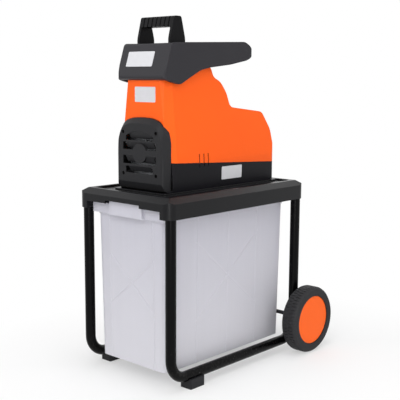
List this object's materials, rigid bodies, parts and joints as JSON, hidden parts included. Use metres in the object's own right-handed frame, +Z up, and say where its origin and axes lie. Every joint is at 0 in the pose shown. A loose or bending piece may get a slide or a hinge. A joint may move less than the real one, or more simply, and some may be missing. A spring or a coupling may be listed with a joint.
{
  "type": "garden shredder",
  "caption": "Electric roller garden shredder on a bent tube frame with wheels, a feed hopper with a lift-out pusher and a pull-out collection box.",
  "frame": {"origin": "on the ground under the middle of the outline", "axes": "+Z up, front of the machine toward -Y, +X to the right seen from the front"},
  "size_m": [0.468, 0.646, 0.965],
  "materials": {
    "deck_plastic": "moulded, satin",
    "tube_paint": "gloss powder coat",
    "foot_plastic": "moulded",
    "zinc_steel": "zinc plated",
    "tyre": "matt",
    "rim_plastic": "moulded",
    "disc_plastic": "moulded",
    "box_plastic": "milky, translucent",
    "base_plastic": "moulded, satin",
    "cover_plastic": "moulded, satin",
    "front_plastic": "moulded",
    "hood_plastic": "moulded, satin",
    "pusher_plastic": "moulded",
    "cast_alloy": "die cast",
    "tool_steel": "machined",
    "knob_plastic": "moulded",
    "gear_bronze": "machined",
    "motor_steel": "stacked sheet",
    "winding_copper": "varnished wire",
    "fan_plastic": "moulded",
    "panel_plastic": "moulded",
    "button_green": "moulded",
    "button_red": "moulded",
    "button_black": "moulded",
    "inlet_plastic": "moulded",
    "pin_brass": "plain",
    "capacitor_shell": "moulded"
  },
  "bodies": {
    "machine": {"deck": "deck_plastic", "frame_tube_left": "tube_paint", "frame_tube_right": "tube_paint", "front_feet": "foot_plastic", "axle_spacers": "foot_plastic", "leg_screws": "zinc_steel", "foot_screws": "zinc_steel", "axle_clips": "zinc_steel", "wheel_axle": "zinc_steel", "deck_bolts": "zinc_steel", "body_screws": "zinc_steel", "front_cover_screws": "zinc_steel", "hopper_screws": "zinc_steel", "gearbox_screws": "zinc_steel", "motor_bolts": "zinc_steel", "base_housing": "base_plastic", "body_cover": "cover_plastic", "front_cover": "front_plastic", "hopper_hood": "hood_plastic", "cutter_frame": "cast_alloy", "gearbox_housing": "cast_alloy", "gearbox_cover": "cast_alloy", "motor_rear_shield": "cast_alloy", "roller_bearings": "tool_steel", "layshaft_bearings": "tool_steel", "motor_bearings": "tool_steel", "stator": "motor_steel", "stator_winding": "winding_copper", "control_panel": "panel_plastic", "power_inlet": "inlet_plastic", "inlet_pins": "pin_brass", "capacitor": "capacitor_shell"},
    "wheel_left": {"tyre_left": "tyre", "wheel_rim_left": "rim_plastic", "wheel_disc_left": "disc_plastic"},
    "wheel_right": {"tyre_right": "tyre", "wheel_rim_right": "rim_plastic", "wheel_disc_right": "disc_plastic"},
    "box": {"collection_box": "box_plastic"},
    "feeder": {"pusher": "pusher_plastic"},
    "motor_rotor": {"motor_shaft": "tool_steel", "rotor": "motor_steel", "motor_fan": "fan_plastic"},
    "layshaft_set": {"layshaft": "tool_steel", "layshaft_gear": "gear_bronze"},
    "roller": {"roller_shaft": "tool_steel", "cutting_roller": "tool_steel", "output_gear": "tool_steel"},
    "adjuster": {"adjusting_screw": "tool_steel", "adjusting_knob": "knob_plastic"},
    "plate": {"counter_plate": "cast_alloy"},
    "on_key": {"on_button": "button_green"},
    "off_key": {"off_button": "button_red"},
    "reset_key": {"reset_button": "button_black"},
    "selector": {"direction_selector": "button_black"}
  },
  "joints": [
    {"name": "left_wheel_spin", "type": "hinge", "parent": "machine", "child": "wheel_left", "pos_m": [-0.21, 0.225, 0.098], "axis": [1, 0, 0], "continuous": true},
    {"name": "right_wheel_spin", "type": "hinge", "parent": "machine", "child": "wheel_right", "pos_m": [0.21, 0.225, 0.098], "axis": [1, 0, 0], "continuous": true},
    {"name": "box_slide", "type": "slide", "parent": "machine", "child": "box", "axis": [0, -1, 0], "range_m": [0, 0.48]},
    {"name": "feeder_lift", "type": "slide", "parent": "machine", "child": "feeder", "axis": [0, 0, 1], "range_m": [0, 0.28]},
    {"name": "motor_spin", "type": "hinge", "parent": "machine", "child": "motor_rotor", "pos_m": [0, 0.0137, 0.62222], "axis": [0, 1, 0], "continuous": true},
    {"name": "layshaft_spin", "type": "hinge", "parent": "machine", "child": "layshaft_set", "pos_m": [0.032, -0.08, 0.58644], "axis": [0, 1, 0], "continuous": true},
    {"name": "roller_spin", "type": "hinge", "parent": "machine", "child": "roller", "pos_m": [0.01, -0.173, 0.655], "axis": [0, 1, 0], "continuous": true},
    {"name": "knob_turn", "type": "hinge", "parent": "machine", "child": "adjuster", "pos_m": [-0.07, -0.173, 0.659], "axis": [-1, 0, 0], "range_deg": [0, 1080]},
    {"name": "plate_slide", "type": "slide", "parent": "machine", "child": "plate", "axis": [-1, 0, 0], "range_m": [0, 0.0045]},
    {"name": "on_press", "type": "slide", "parent": "machine", "child": "on_key", "axis": [0, -0.9794, -0.2019], "range_m": [0, 0.003], "stiffness_N_per_m": 600},
    {"name": "off_press", "type": "slide", "parent": "machine", "child": "off_key", "axis": [0, -0.9794, -0.2019], "range_m": [0, 0.003], "stiffness_N_per_m": 600},
    {"name": "reset_press", "type": "slide", "parent": "machine", "child": "reset_key", "axis": [0, -0.9794, -0.2019], "range_m": [0, 0.003], "stiffness_N_per_m": 600},
    {"name": "selector_turn", "type": "hinge", "parent": "machine", "child": "selector", "pos_m": [0.036, 0.196, 0.6105], "axis": [0, 0.9794, 0.2019], "range_deg": [-45, 45]}
  ],
  "couplings": [
    {"joint": "layshaft_spin", "follows": "motor_spin", "ratio": -0.14286},
    {"joint": "roller_spin", "follows": "motor_spin", "ratio": 0.020408},
    {"joint": "knob_turn", "follows": "plate_slide", "rad_per_m": 4188.8}
  ]
}
